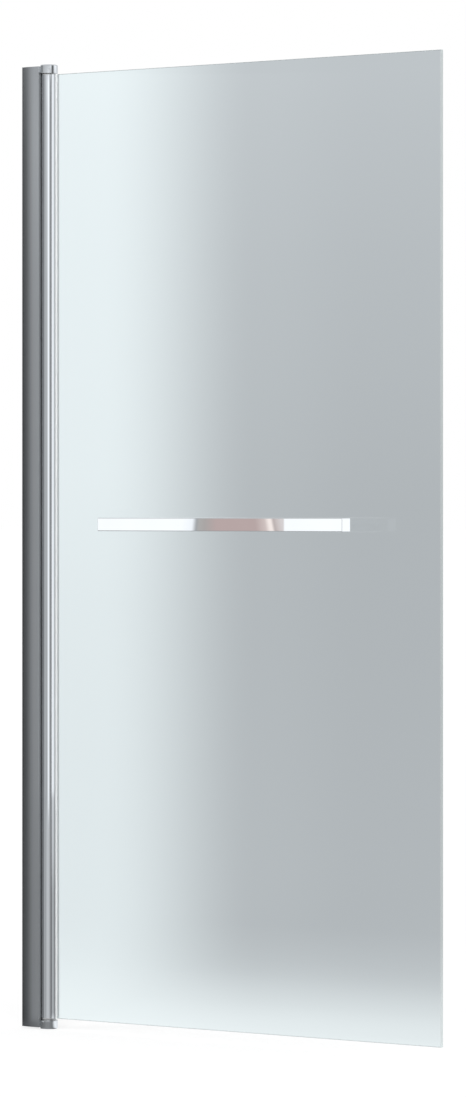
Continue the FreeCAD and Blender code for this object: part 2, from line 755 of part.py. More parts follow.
nodes = [
    make_wall_profile(),
    make_end_cap("wall_profile_top_cap", size.screen_height, UPRIGHT),
    make_end_cap("wall_profile_bottom_cap", ZERO, UPSIDE_DOWN),
    make_hinge_carrier(),
    make_wiper_seal("front_wiper_seal", -1),
    make_wiper_seal("rear_wiper_seal", 1),
    make_clamp_screws(),
    make_clamp_caps(),
    make_bearing_block("top_bearing_block", top_face, UPRIGHT),
    make_bearing_block("bottom_bearing_block", block_inner, UPSIDE_DOWN),
    make_block_screws(),
    make_pivot_pin("top_pivot_pin", top_face, UPRIGHT),
    make_pivot_pin("bottom_pivot_pin", block_inner, UPSIDE_DOWN),
    make_thrust_washer(),
    make_pivot_tube(),
    make_pivot_bush("top_pivot_bush", leaf_top, UPRIGHT),
    make_pivot_bush("bottom_pivot_bush", leaf_bottom, UPSIDE_DOWN),
    make_glass_panel(),
    make_glazing_gasket(),
    make_towel_bar(),
    make_bar_cap("towel_bar_left_cap", bar_left, UPRIGHT),
    make_bar_cap("towel_bar_right_cap", bar_right, TURNED_ROUND),
    make_post("left_post", post_places[0]),
    make_post("right_post", post_places[1]),
    make_grub_screws(),
    make_rail_bolts(),
    make_bolt_covers(),
    make_rings("glass_hole_sleeves", glass_front, bolt_clearance, size.rail_hole_radius - size.fit_gap,
               size.glass_thickness),
    make_rings("front_post_washers", post_seat, bolt_clearance, size.post_foot_radius, size.pad_washer),
    make_rings("rear_glass_washers", glass_half, bolt_clearance, size.bolt_cover_radius, size.pad_washer),
]

doc.recompute()
for item in doc.Objects:
    if "Invalid" in item.State or "Error" in item.State:
        raise RuntimeError(f"{item.Label} failed: {item.State}")
for node in nodes:
    if node.Shape.isNull() or not node.Shape.isValid() or not node.Shape.Solids:
        raise RuntimeError(f"{node.Label} has no valid solid")

os.makedirs("parts", exist_ok=True)
for node in nodes:
    node.Shape.exportStep(f"parts/{node.Label}.step")
    print(node.Label, len(node.Shape.Solids), round(node.Shape.Volume, 1))
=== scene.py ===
import math

import bpy
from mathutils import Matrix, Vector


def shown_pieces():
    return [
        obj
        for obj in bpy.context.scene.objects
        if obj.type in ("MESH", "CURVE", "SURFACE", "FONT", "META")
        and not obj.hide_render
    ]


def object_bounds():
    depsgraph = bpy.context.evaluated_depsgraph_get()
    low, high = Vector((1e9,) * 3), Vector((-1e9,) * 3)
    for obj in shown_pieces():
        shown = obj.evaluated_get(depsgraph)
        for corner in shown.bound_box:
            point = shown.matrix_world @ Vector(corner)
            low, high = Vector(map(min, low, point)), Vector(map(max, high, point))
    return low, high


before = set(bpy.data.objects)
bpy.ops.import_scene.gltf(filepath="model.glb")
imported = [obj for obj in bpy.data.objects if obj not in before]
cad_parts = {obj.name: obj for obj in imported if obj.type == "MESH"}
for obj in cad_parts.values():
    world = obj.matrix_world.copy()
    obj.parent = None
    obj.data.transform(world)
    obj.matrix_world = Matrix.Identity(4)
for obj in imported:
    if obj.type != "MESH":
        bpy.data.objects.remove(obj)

cad_low, cad_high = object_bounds()

# Lengths are in metres and angles in degrees; +X runs out from the wall, -Y is the screen's front

PIVOT_X = 0.04
SCREEN_WIDTH = 0.75
SCREEN_HEIGHT = 1.4
RAIL_LEVEL = 0.733
FLOOR_LEVEL = cad_low.z
FULL_TURN = 360.0
HALF_TURN = 180.0
QUARTER_TURN = 90.0


# Colours

def rgb(red, green, blue):
    return (red, green, blue, 1.0)


def grey(level):
    return rgb(level, level, level)


def cool(level):
    """A grey with the faint blue of a shaded white room."""
    return rgb(0.96 * level, level, 1.04 * level)


def pale(level):
    """The light side of what shows through the glass."""
    return rgb(0.922 * level, level, 1.022 * level)


def shade(level):
    """The grey side of what shows through the glass."""
    return rgb(0.94 * level, level, 1.043 * level)


def graded(tint, *pairs):
    """Stops for a ramp, from pairs of a place and a level, all in one tint."""
    return tuple((place, tint(level)) for place, level in pairs)


# Node helpers

NOISE_LOW = 0.3
NOISE_HIGH = 0.7
EVEN = (1.0, 1.0, 1.0)


def new_material(name):
    material = bpy.data.materials.new(name)
    material.use_nodes = True
    return material


def principled(material):
    return material.node_tree.nodes["Principled BSDF"]


def surface_socket(material):
    return material.node_tree.nodes["Material Output"].inputs["Surface"]


def add_node(material, kind):
    return material.node_tree.nodes.new(kind)


def link(material, source, target):
    material.node_tree.links.new(source, target)


def object_axes(material, kind="Object"):
    coordinates = add_node(material, "ShaderNodeTexCoord")
    split = add_node(material, "ShaderNodeSeparateXYZ")
    link(material, coordinates.outputs[kind], split.inputs["Vector"])
    return split.outputs


def object_noise(material, scale, stretch=EVEN, detail=3.0):
    """Noise fixed to the piece; a small stretch draws the grain out along that axis."""
    coordinates = add_node(material, "ShaderNodeTexCoord")
    mapping = add_node(material, "ShaderNodeMapping")
    mapping.inputs["Scale"].default_value = stretch
    noise = add_node(material, "ShaderNodeTexNoise")
    noise.inputs["Scale"].default_value = scale
    noise.inputs["Detail"].default_value = detail
    link(material, coordinates.outputs["Object"], mapping.inputs["Vector"])
    link(material, mapping.outputs["Vector"], noise.inputs["Vector"])
    return noise.outputs["Fac"]


def map_range(material, value, low, high, to_low, to_high):
    span = add_node(material, "ShaderNodeMapRange")
    span.inputs["From Min"].default_value = low
    span.inputs["From Max"].default_value = high
    span.inputs["To Min"].default_value = to_low
    span.inputs["To Max"].default_value = to_high
    link(material, value, span.inputs["Value"])
    return span.outputs["Result"]


def spread(material, noise, low, high):
    """Noise stays near its middle, so that part of it is spread over low to high."""
    return map_range(material, noise, NOISE_LOW, NOISE_HIGH, low, high)


def colour_ramp(material, value, stops, low, high, easing="LINEAR"):
    """Stops are places between low and high, with a colour each."""
    ramp = add_node(material, "ShaderNodeValToRGB")
    ramp.color_ramp.interpolation = easing
    elements = ramp.color_ramp.elements
    elements.remove(elements[1])
    for index, (place, colour) in enumerate(stops):
        share = (place - low) / (high - low)
        element = elements[0] if index == 0 else elements.new(share)
        element.position = share
        element.color = colour
    link(material, map_range(material, value, low, high, 0.0, 1.0), ramp.inputs["Fac"])
    return ramp.outputs["Color"]


def blend_colours(material, noise, first, second):
    return colour_ramp(material, noise, ((NOISE_LOW, first), (NOISE_HIGH, second)), 0.0, 1.0)


def relief(material, height, strength, distance):
    bump = add_node(material, "ShaderNodeBump")
    bump.inputs["Strength"].default_value = strength
    bump.inputs["Distance"].default_value = distance
    link(material, height, bump.inputs["Height"])
    return bump.outputs["Normal"]


def mix_colours(material, mode, factor, first, second):
    """Mix two colours, each an output or a plain colour; the factor is an output or a number."""
    mix = add_node(material, "ShaderNodeMix")
    mix.data_type = "RGBA"
    mix.blend_type = mode
    if isinstance(factor, float):
        mix.inputs["Factor"].default_value = factor
    else:
        link(material, factor, mix.inputs["Factor"])
    colour_sockets = [socket for socket in mix.inputs if socket.type == "RGBA"]
    for socket, colour in zip(colour_sockets, (first, second)):
        if isinstance(colour, tuple):
            socket.default_value = colour
        else:
            link(material, colour, socket)
    return next(socket for socket in mix.outputs if socket.type == "RGBA")


def calculate(material, operation, first, second=None, third=None):
    """One Math node; each operand is an output or a number."""
    node = add_node(material, "ShaderNodeMath")
    node.operation = operation
    for socket, operand in zip(node.inputs, (first, second, third)):
        if isinstance(operand, float):
            socket.default_value = operand
        elif operand is not None:
            link(material, operand, socket)
    return node.outputs["Value"]


# Materials

def set_surface(material, colour, roughness, normal=None):
    """Link a look's colour, roughness and relief to its shader."""
    sockets = principled(material).inputs
    link(material, colour, sockets["Base Color"])
    link(material, roughness, sockets["Roughness"])
    if normal is not None:
        link(material, normal, sockets["Normal"])


def new_metal(name):
    material = new_material(name)
    principled(material).inputs["Metallic"].default_value = 1.0
    return material


def make_satin_aluminium():
    """An extrusion with fine drawn lines along its length."""
    material = new_metal("satin_aluminium_look")
    lines = object_noise(material, scale=900.0, stretch=(1.0, 1.0, 0.004))
    patches = object_noise(material, scale=6.0, stretch=(1.0, 1.0, 0.3))
    set_surface(
        material,
        colour=blend_colours(material, patches, rgb(0.70, 0.71, 0.72), rgb(0.76, 0.77, 0.78)),
        roughness=spread(material, lines, low=0.14, high=0.22),
        normal=relief(material, lines, strength=0.04, distance=0.0002),
    )
    return material


def make_bright_chrome():
    """Mirror plating with faint upright smears and the waviness of a fine polish."""
    material = new_metal("bright_chrome_look")
    smears = object_noise(material, scale=14.0, stretch=(1.0, 1.0, 0.4))
    polish = object_noise(material, scale=260.0)
    set_surface(
        material,
        colour=blend_colours(material, smears, rgb(0.86, 0.87, 0.88), rgb(0.89, 0.90, 0.91)),
        roughness=spread(material, smears, low=0.03, high=0.07),
        normal=relief(material, polish, strength=0.01, distance=0.0002),
    )
    return material


def make_stainless_steel():
    """Plain steel with fine turning marks."""
    material = new_metal("stainless_steel_look")
    turning = object_noise(material, scale=1400.0, stretch=(0.2, 0.2, 1.0))
    patches = object_noise(material, scale=90.0)
    set_surface(
        material,
        colour=blend_colours(material, patches, grey(0.56), grey(0.64)),
        roughness=spread(material, turning, low=0.22, high=0.38),
        normal=relief(material, turning, strength=0.08, distance=0.0001),
    )
    return material


CLEAR_IOR = 1.5
GLASS_FACE = rgb(0.985, 0.995, 0.995)
# The arris is painted darker than edge and face: painted shade for the dark line that its
# refraction shows.
GLASS_ARRIS_PAINTED_SHADE = rgb(0.45, 0.48, 0.48)
GLASS_EDGE = rgb(0.60, 0.65, 0.65)
EDGE_END = 0.5
ARRIS_START = 0.6
ARRIS_END = 0.8
FACE_START = 0.95
GLASS_TURNS = (
    (EDGE_END, GLASS_EDGE),
    (ARRIS_START, GLASS_ARRIS_PAINTED_SHADE),
    (ARRIS_END, GLASS_ARRIS_PAINTED_SHADE),
    (FACE_START, GLASS_FACE),
)
# Painted light and shade by height on the glass's edges: much lighter at the foot, slightly darker
# at mid-height.
GLASS_EDGE_PAINTED_LIGHT = graded(
    grey, (0.0, 1.45), (0.06, 1.35), (0.16, 1.0), (0.5, 0.92), (1.0, 0.94), (SCREEN_HEIGHT, 1.02))
EDGE_CLEARNESS = 0.2


def make_clear_glass():
    """Clear faces with a faint roller wave, and ground edges that let little through.

    How far the surface turns towards the pane's face tells edge, arris and face apart. The arris
    is painted darker as painted shade, and the edges carry painted light by height, lightest at
    the foot.
    """
    material = new_material("clear_glass_look")
    sockets = principled(material).inputs
    sockets["IOR"].default_value = CLEAR_IOR
    face = calculate(material, "ABSOLUTE", object_axes(material, "Normal")["Y"])
    # Edge, arris and face colours; the arris's darker grey is painted shade.
    colour = colour_ramp(material, face, GLASS_TURNS, 0.0, 1.0)
    # The edges' painted light by height, applied only where the edge mask is.
    lift = colour_ramp(material, object_axes(material)["Z"], GLASS_EDGE_PAINTED_LIGHT, 0.0, SCREEN_HEIGHT)
    edge = map_range(material, face, ARRIS_END, FACE_START, 1.0, 0.0)
    clearness = map_range(material, face, ARRIS_END, FACE_START, EDGE_CLEARNESS, 1.0)
    link(material, clearness, sockets["Transmission Weight"])
    grind = spread(material, object_noise(material, scale=700.0), low=0.3, high=0.5)
    waves = object_noise(material, scale=5.0, stretch=(1.0, 1.0, 0.25), detail=1.0)
    set_surface(
        material,
        colour=mix_colours(material, "MULTIPLY", edge, colour, lift),
        roughness=calculate(material, "MULTIPLY", grind, edge),
        normal=relief(material, waves, strength=0.03, distance=0.0004),
    )
    return material


VINYL_DEPTH = 0.003


def make_clear_vinyl():
    """A hazy soft plastic that light soaks through."""
    material = new_material("clear_vinyl_look")
    sockets = principled(material).inputs
    sockets["Subsurface Weight"].default_value = 1.0
    sockets["Subsurface Radius"].default_value = EVEN
    sockets["Subsurface Scale"].default_value = VINYL_DEPTH
    sockets["IOR"].default_value = CLEAR_IOR
    haze = object_noise(material, scale=60.0, stretch=(1.0, 1.0, 0.05))
    set_surface(
        material,
        colour=blend_colours(material, haze, rgb(0.80, 0.87, 0.90), rgb(0.84, 0.91, 0.94)),
        roughness=spread(material, haze, low=0.18, high=0.34),
    )
    return material


GRAINS_PER_PATCH = 12.0
GRAIN_DEPTH = 0.0001


def make_plain(name, dark, light, grain_scale, roughness, relief_strength):
    """A moulded or extruded plain material with fine grain."""
    material = new_material(name)
    patches = object_noise(material, grain_scale / GRAINS_PER_PATCH)
    grain = object_noise(material, grain_scale)
    set_surface(
        material,
        colour=blend_colours(material, patches, dark, light),
        roughness=spread(material, grain, *roughness),
        normal=relief(material, grain, relief_strength, GRAIN_DEPTH),
    )
    return material


looks = {
    "satin_aluminium": make_satin_aluminium(),
    "bright_chrome": make_bright_chrome(),
    "stainless_steel": make_stainless_steel(),
    "clear_glass": make_clear_glass(),
    "clear_vinyl": make_clear_vinyl(),
    "grey_plastic": make_plain(
        "grey_plastic_look", dark=grey(0.38), light=grey(0.44),
        grain_scale=1500.0, roughness=(0.45, 0.6), relief_strength=0.15),
    "seal_rubber": make_plain(
        "seal_rubber_look", dark=grey(0.045), light=grey(0.07),
        grain_scale=900.0, roughness=(0.6, 0.8), relief_strength=0.2),
    "white_acetal": make_plain(
        "white_acetal_look", dark=rgb(0.82, 0.82, 0.80), light=rgb(0.87, 0.87, 0.85),
        grain_scale=1100.0, roughness=(0.35, 0.5), relief_strength=0.08),
}

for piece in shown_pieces():
    for material_slot in piece.material_slots:
        material_slot.material = looks[material_slot.material.name.split(".")[0]]

bpy.data.objects["glass_panel"].visible_shadow = False


# Stage helpers

QUAD = [(0, 1, 2, 3)]


def add_stage(name, points, faces, material, location):
    mesh = bpy.data.meshes.new(name)
    mesh.from_pydata(points, [], faces)
    mesh.materials.append(material)
    mesh.update()
    piece = bpy.data.objects.new(name, mesh)
    piece.location = location
    bpy.context.scene.collection.objects.link(piece)
    return piece


def add_upright_card(name, material, place, turned, span, levels):
    """A flat upright card; turned is the angle of its width from +X, span its ends along it."""
    angle = math.radians(turned)
    along = (math.cos(angle), math.sin(angle))
    points = []
    for end, level in ((0, 0), (1, 0), (1, 1), (0, 1)):
        points.append((along[0] * span[end], along[1] * span[end], levels[level]))
    return add_stage(name, points, QUAD, material, place)


def seen_only_by(piece, glossy=False, transmission=False):
    piece.visible_camera = False
    piece.visible_diffuse = False
    piece.visible_shadow = False
    piece.visible_volume_scatter = False
    piece.visible_glossy = glossy
    piece.visible_transmission = transmission


def glow_material(name):
    """A stage material that glows; returns it with its emission shader."""
    material = new_material(name)
    material.node_tree.nodes.remove(principled(material))
    emission = add_node(material, "ShaderNodeEmission")
    link(material, emission.outputs["Emission"], surface_socket(material))
    return material, emission


def plain_glow(name, colour):
    material, emission = glow_material(name)
    emission.inputs["Color"].default_value = colour
    return material


def one_sided_glow(name, colour):
    """A glow on a card's front; its back lets everything through."""
    material, emission = glow_material(name)
    emission.inputs["Color"].default_value = colour
    geometry = add_node(material, "ShaderNodeNewGeometry")
    clear = add_node(material, "ShaderNodeBsdfTransparent")
    sides = add_node(material, "ShaderNodeMixShader")
    link(material, geometry.outputs["Backfacing"], sides.inputs["Fac"])
    link(material, emission.outputs["Emission"], sides.inputs[1])
    link(material, clear.outputs["BSDF"], sides.inputs[2])
    link(material, sides.outputs["Shader"], surface_socket(material))
    return material


# World and floor

AMBIENT = 0.7


def make_world():
    """White to the camera, in reflections and through the glass; a softer white as light."""
    world = bpy.data.worlds.new("studio")
    world.use_nodes = True
    tree = world.node_tree
    tree.nodes.clear()
    output = tree.nodes.new("ShaderNodeOutputWorld")
    white = tree.nodes.new("ShaderNodeBackground")
    white.inputs["Color"].default_value = grey(1.0)
    ambient = tree.nodes.new("ShaderNodeBackground")
    ambient.inputs["Color"].default_value = grey(1.0)
    ambient.inputs["Strength"].default_value = AMBIENT
    path = tree.nodes.new("ShaderNodeLightPath")
    seen = path.outputs["Is Camera Ray"]
    for name in ("Is Glossy Ray", "Is Transmission Ray"):
        either = tree.nodes.new("ShaderNodeMath")
        either.operation = "MAXIMUM"
        tree.links.new(seen, either.inputs[0])
        tree.links.new(path.outputs[name], either.inputs[1])
        seen = either.outputs["Value"]
    mix = tree.nodes.new("ShaderNodeMixShader")
    tree.links.new(seen, mix.inputs["Fac"])
    tree.links.new(ambient.outputs["Background"], mix.inputs[1])
    tree.links.new(white.outputs["Background"], mix.inputs[2])
    tree.links.new(mix.outputs["Shader"], output.inputs["Surface"])
    bpy.context.scene.world = world


FLOOR_HALF = 150.0
FLOOR_FAR = 10.0
FLOOR_GLOW = graded(grey, (0.0, 0.70), (1.0, 0.72), (3.0, 0.755), (6.0, 0.78), (FLOOR_FAR, 0.80))


def distance_out(material, axes):
    """Level distance from a stage piece's own middle."""
    across = calculate(material, "MULTIPLY", axes["X"], axes["X"])
    squares = calculate(material, "MULTIPLY_ADD", axes["Y"], axes["Y"], across)
    return calculate(material, "SQRT", squares)


def make_floor():
    """A floor that is white where lit and still takes the object's shadow.

    It glows more further out, where less light falls.
    """
    material = new_material("floor")
    material.node_tree.nodes.remove(principled(material))
    diffuse = add_node(material, "ShaderNodeBsdfDiffuse")
    grain = object_noise(material, scale=40.0)
    link(material, blend_colours(material, grain, grey(0.30), grey(0.32)), diffuse.inputs["Color"])
    glow = add_node(material, "ShaderNodeEmission")
    out = distance_out(material, object_axes(material))
    link(material, colour_ramp(material, out, FLOOR_GLOW, 0.0, FLOOR_FAR), glow.inputs["Color"])
    both = add_node(material, "ShaderNodeAddShader")
    link(material, diffuse.outputs["BSDF"], both.inputs[0])
    link(material, glow.outputs["Emission"], both.inputs[1])
    link(material, both.outputs["Shader"], surface_socket(material))
    corners = ((-1, -1), (1, -1), (1, 1), (-1, 1))
    points = [(x * FLOOR_HALF, y * FLOOR_HALF, 0.0) for x, y in corners]
    add_stage("floor", points, QUAD, material, (0.0, 0.0, FLOOR_LEVEL))


# Reflectors round the bright metal, in bands by bearing

TENT_RADIUS = 3.2
TENT_SPLIT = 1.6457
TENT_TOP = 3.0
TENT_SIDES = 96
TENT_BANDS = graded(
    cool,
    (-180.0, 0.55),
    (-120.0, 0.50),
    (-86.0, 0.42),
    (-70.0, 0.06),
    (-62.0, 0.015),
    (-55.0, 0.06),
    (-45.0, 0.25),
    (-38.0, 0.38),
    (-32.0, 0.39),
    (-27.0, 0.25),
    (-23.0, 0.35),
    (-16.0, 0.42),
    (2.0, 0.45),
    (18.0, 0.60),
    (26.0, 1.0),
    (44.0, 1.0),
    (56.0, 0.30),
    (84.0, 0.16),
    (104.0, 0.20),
    (130.0, 0.42),
    (180.0, 0.55),
)
TENT_LIFT = graded(grey, (0.0, 0.86), (0.8, 1.0), (1.2, 1.08), (1.56, 1.34), (TENT_SPLIT, 1.62))
TENT_LIFT_BANDS = graded(
    grey, (-180.0, 1.0), (8.0, 1.0), (26.0, 0.3), (84.0, 0.3), (104.0, 1.0), (180.0, 1.0))
TENT_FOOT = graded(grey, (0.12, 0.0), (0.16, 1.0))
CROWN_BANDS = graded(
    cool,
    (-180.0, 0.66),
    (-86.0, 0.50),
    (-70.0, 0.16),
    (-62.0, 0.12),
    (-55.0, 0.22),
    (-45.0, 0.38),
    (-33.0, 0.46),
    (-4.0, 0.57),
    (38.0, 0.52),
    (52.0, 0.64),
    (60.0, 0.92),
    (66.0, 0.94),
    (73.0, 0.62),
    (83.0, 0.14),
    (95.0, 0.05),
    (102.0, 0.30),
    (112.0, 0.92),
    (120.0, 1.04),
    (140.0, 1.04),
    (158.0, 0.76),
    (180.0, 0.66),
)
APRON_BANDS = graded(
    cool,
    (-180.0, 0.48),
    (-120.0, 0.45),
    (-86.0, 0.36),
    (-70.0, 0.05),
    (-62.0, 0.02),
    (-52.0, 0.10),
    (-38.0, 0.30),
    (-32.0, 0.32),
    (-27.0, 0.22),
    (-16.0, 0.41),
    (18.0, 0.58),
    (36.0, 0.57),
    (52.0, 0.46),
    (68.0, 0.20),
    (86.0, 0.13),
    (104.0, 0.17),
    (130.0, 0.36),
    (180.0, 0.48),
)
APRON_RISE = 0.0003
MAT_BANDS = graded(
    cool,
    (-180.0, 0.85),
    (-86.0, 0.40),
    (-70.0, 0.11),
    (-62.0, 0.09),
    (-50.0, 0.13),
    (-36.0, 0.18),
    (-18.0, 0.19),
    (10.0, 0.25),
    (36.0, 0.25),
    (75.0, 0.20),
    (86.0, 0.28),
    (103.0, 0.74),
    (119.0, 0.98),
    (180.0, 0.85),
)
MAT_RADIUS = 0.15
MAT_FADE = graded(grey, (0.12, 0.0), (MAT_RADIUS, 1.0))
MAT_RISE = 0.0006
CANOPY_COLOUR = cool(0.6)


def bearing(material, axes):
    """Degrees round the pivot: 0 straight out from the screen's front, 90 to its free end."""
    front = calculate(material, "MULTIPLY", axes["Y"], -1.0)
    turn = calculate(material, "ARCTAN2", axes["X"], front)
    return calculate(material, "DEGREES", turn)


def bands_round(material, axes, bands):
    return colour_ramp(material, bearing(material, axes), bands, -HALF_TURN, HALF_TURN)


def circle_points(radius, level):
    turns = [math.radians(FULL_TURN * index / TENT_SIDES) for index in range(TENT_SIDES)]
    return [(radius * math.sin(turn), -radius * math.cos(turn), level) for turn in turns]


def add_ring(name, material, radius, low, high):
    faces = []
    for index in range(TENT_SIDES):
        after = (index + 1) % TENT_SIDES
        faces.append((index, after, after + TENT_SIDES, index + TENT_SIDES))
    points = circle_points(radius, low) + circle_points(radius, high)
    return add_stage(name, points, faces, material, (PIVOT_X, 0.0, FLOOR_LEVEL))


def add_disc(name, material, radius, level):
    points = circle_points(radius, level)
    faces = [tuple(range(TENT_SIDES))]
    return add_stage(name, points, faces, material, (PIVOT_X, 0.0, FLOOR_LEVEL))


def make_tent():
    """A banded ring round the pivot for the bright metal, with its crown, floor discs and top."""
    tent, tent_glow = glow_material("tent")
    axes = object_axes(tent)
    lift = colour_ramp(tent, axes["Z"], TENT_LIFT, 0.0, TENT_TOP)
    lift_share = bands_round(tent, axes, TENT_LIFT_BANDS)
    lit = mix_colours(tent, "MULTIPLY", lift_share, bands_round(tent, axes, TENT_BANDS), lift)
    foot = colour_ramp(tent, axes["Z"], TENT_FOOT, 0.0, TENT_TOP)
    colour = mix_colours(tent, "MIX", foot, bands_round(tent, axes, APRON_BANDS), lit)
    link(tent, colour, tent_glow.inputs["Color"])
    seen_only_by(add_ring("tent", tent, TENT_RADIUS, 0.0, TENT_SPLIT), glossy=True)

    crown, crown_glow = glow_material("crown")
    colour = bands_round(crown, object_axes(crown), CROWN_BANDS)
    link(crown, colour, crown_glow.inputs["Color"])
    seen_only_by(add_ring("crown", crown, TENT_RADIUS, TENT_SPLIT, TENT_TOP), glossy=True)

    apron, apron_glow = glow_material("apron")
    colour = bands_round(apron, object_axes(apron), APRON_BANDS)
    link(apron, colour, apron_glow.inputs["Color"])
    seen_only_by(add_disc("apron", apron, TENT_RADIUS, APRON_RISE), glossy=True)

    mat, mat_glow = glow_material("mat")
    axes = object_axes(mat)
    fade = colour_ramp(mat, distance_out(mat, axes), MAT_FADE, 0.0, MAT_RADIUS)
    near = bands_round(mat, axes, MAT_BANDS)
    far = bands_round(mat, axes, APRON_BANDS)
    link(mat, mix_colours(mat, "MIX", fade, near, far), mat_glow.inputs["Color"])
    seen_only_by(add_disc("mat", mat, MAT_RADIUS, MAT_RISE), glossy=True)

    canopy = plain_glow("canopy", CANOPY_COLOUR)
    seen_only_by(add_disc("canopy", canopy, TENT_RADIUS, TENT_TOP), glossy=True)


# What shows through the glass

COVE_RADIUS = 2.2
COVE_TOP = 2.6
COVE_RISE = 0.0009
COVE_TURN = 38.4
COVE_PALE = graded(
    pale, (0.30, 0.857), (0.58, 0.868), (0.82, 0.905), (1.24, 0.922), (1.43, 0.932), (1.56, 0.947))
COVE_SHADE = graded(
    shade, (0.10, 0.486), (0.50, 0.475), (0.75, 0.475), (1.0, 0.50), (1.24, 0.52), (1.56, 0.56))
COVE_ACROSS = graded(
    grey, (-COVE_RADIUS, 1.0), (-0.5, 0.0), (0.024, 0.0), (0.3175, 0.94), (0.52, 1.0))
COVE_FOOT = rgb(0.90, 0.965, 0.98)
COVE_FADE = graded(
    grey,
    (0.0, 0.96),
    (0.1, 0.89),
    (0.2, 0.79),
    (0.3, 0.72),
    (0.42, 0.62),
    (0.5, 0.54),
    (0.7, 0.38),
    (0.9, 0.22),
    (1.0, 0.16),
    (1.15, 0.10),
    (1.3, 0.065),
    (1.5, 0.03),
    (1.75, 0.0),
)


def cove_colour(material, axes):
    """Pale at one side and grey at the other, each with its own levels by height."""
    angle = math.radians(COVE_TURN)
    inward = calculate(material, "MULTIPLY", axes["Y"], math.sin(angle))
    sideways = calculate(material, "MULTIPLY_ADD", axes["X"], math.cos(angle), inward)
    share = colour_ramp(material, sideways, COVE_ACROSS, -COVE_RADIUS, COVE_RADIUS, "EASE")
    light = colour_ramp(material, axes["Z"], COVE_PALE, 0.0, COVE_TOP)
    dark = colour_ramp(material, axes["Z"], COVE_SHADE, 0.0, COVE_TOP)
    return mix_colours(material, "MIX", share, light, dark)


def make_cove():
    """A round backdrop and its floor, seen only through the glass.

    The floor is pale along the screen's foot.
    """
    wall, wall_glow = glow_material("cove")
    link(wall, cove_colour(wall, object_axes(wall)), wall_glow.inputs["Color"])
    seen_only_by(add_ring("cove", wall, COVE_RADIUS, 0.0, COVE_TOP), transmission=True)

    ground, ground_glow = glow_material("cove_floor")
    axes = object_axes(ground)
    depth = calculate(ground, "ABSOLUTE", axes["Y"])
    foot = colour_ramp(ground, depth, COVE_FADE, 0.0, COVE_RADIUS)
    colour = mix_colours(ground, "MIX", foot, cove_colour(ground, axes), COVE_FOOT)
    link(ground, colour, ground_glow.inputs["Color"])
    seen_only_by(add_disc("cove_floor", ground, COVE_RADIUS, COVE_RISE), transmission=True)


# Cards close to the towel bar

BAR_CARD_Y = -0.070
BAR_CARD_SPAN = (0.1745, 0.6215)
BAR_CARD_HALF = 0.0105
BAR_CARD_LEVELS = (RAIL_LEVEL - BAR_CARD_HALF, RAIL_LEVEL + BAR_CARD_HALF)
BAR_WHITE = rgb(1.10, 1.13, 1.15)
BAR_WARM = rgb(0.54, 0.43, 0.42)
BAR_STREAK = rgb(1.03, 0.93, 0.89)
BAR_BLUSH = rgb(0.76, 0.72, 0.72)
BAR_BANDS = (
    (BAR_CARD_SPAN[0], BAR_WHITE),
    (0.3330, BAR_WHITE),
    (0.3515, cool(1.05)),
    (0.3592, cool(0.42)),
    (0.3640, rgb(0.48, 0.47, 0.46)),
    (0.3747, rgb(0.46, 0.43, 0.42)),
    (0.3950, BAR_WARM),
    (0.4651, BAR_WARM),
    (0.4830, rgb(0.70, 0.60, 0.58)),
    (0.4899, BAR_STREAK),
    (0.4939, BAR_STREAK),
    (0.4989, rgb(0.56, 0.49, 0.48)),
    (0.5048, rgb(0.68, 0.61, 0.60)),
    (0.5128, BAR_BLUSH),
    (BAR_CARD_SPAN[1], BAR_BLUSH),
)
BAR_RIGHT = graded(grey, (0.5150, 0.0), (0.5171, 1.0))
BAR_FAN = 2.6
BAR_UPRIGHT = 0.4046
BAR_FLAG_X = 0.141
BAR_FLAG_SPAN = (0.014, 0.075)
BAR_FLAG_LEVELS = (BAR_CARD_LEVELS[0] - BAR_CARD_HALF, BAR_CARD_LEVELS[1] + BAR_CARD_HALF)
BAR_FLAG_COLOUR = cool(0.28)
BAR_END_Y = -0.035
BAR_END_SPAN = (0.627, 0.647)
BAR_END_FLAG_Y = -0.040
BAR_END_FLAG_SPAN = (-0.645, -0.6222)
BAR_END_FLAG_COLOUR = cool(0.38)


def make_bar_cards():
    """A card just ahead of the towel bar, whose flat face mirrors it, and one for its free end.

    One flag hides the front card from the pivot tube, the other hides it from the glass beyond
    the bar. The front card's bands fan out on both sides of an upright place.
    """
    material, emission = glow_material("bar_card")
    axes = object_axes(material)
    height = calculate(material, "SUBTRACT", axes["Z"], RAIL_LEVEL)
    aside = calculate(material, "SUBTRACT", axes["X"], BAR_UPRIGHT)
    slant = calculate(material, "MULTIPLY", aside, BAR_FAN)
    slanted = calculate(material, "MULTIPLY_ADD", height, slant, axes["X"])
    bands = colour_ramp(material, slanted, BAR_BANDS, *BAR_CARD_SPAN)
    right = colour_ramp(material, axes["X"], BAR_RIGHT, *BAR_CARD_SPAN)
    colour = mix_colours(material, "MIX", right, bands, BAR_WHITE)
    link(material, colour, emission.inputs["Color"])
    front = add_upright_card(
        "bar_card", material,
        place=(0.0, BAR_CARD_Y, 0.0), turned=0.0, span=BAR_CARD_SPAN, levels=BAR_CARD_LEVELS)
    flag = add_upright_card(
        "bar_flag", plain_glow("bar_flag", BAR_FLAG_COLOUR),
        place=(BAR_FLAG_X, 0.0, 0.0), turned=-QUARTER_TURN, span=BAR_FLAG_SPAN,
        levels=BAR_FLAG_LEVELS)
    end = add_upright_card(
        "bar_end_card", one_sided_glow("bar_end_card", BAR_WHITE),
        place=(0.0, BAR_END_Y, 0.0), turned=0.0, span=BAR_END_SPAN, levels=BAR_CARD_LEVELS)
    end_flag = add_upright_card(
        "bar_end_flag", one_sided_glow("bar_end_flag", BAR_END_FLAG_COLOUR),
        place=(0.0, BAR_END_FLAG_Y, 0.0), turned=HALF_TURN, span=BAR_END_FLAG_SPAN,
        levels=BAR_CARD_LEVELS)
    for card in (front, flag, end, end_flag):
        seen_only_by(card, glossy=True)


# Cards close to the glazing jaw

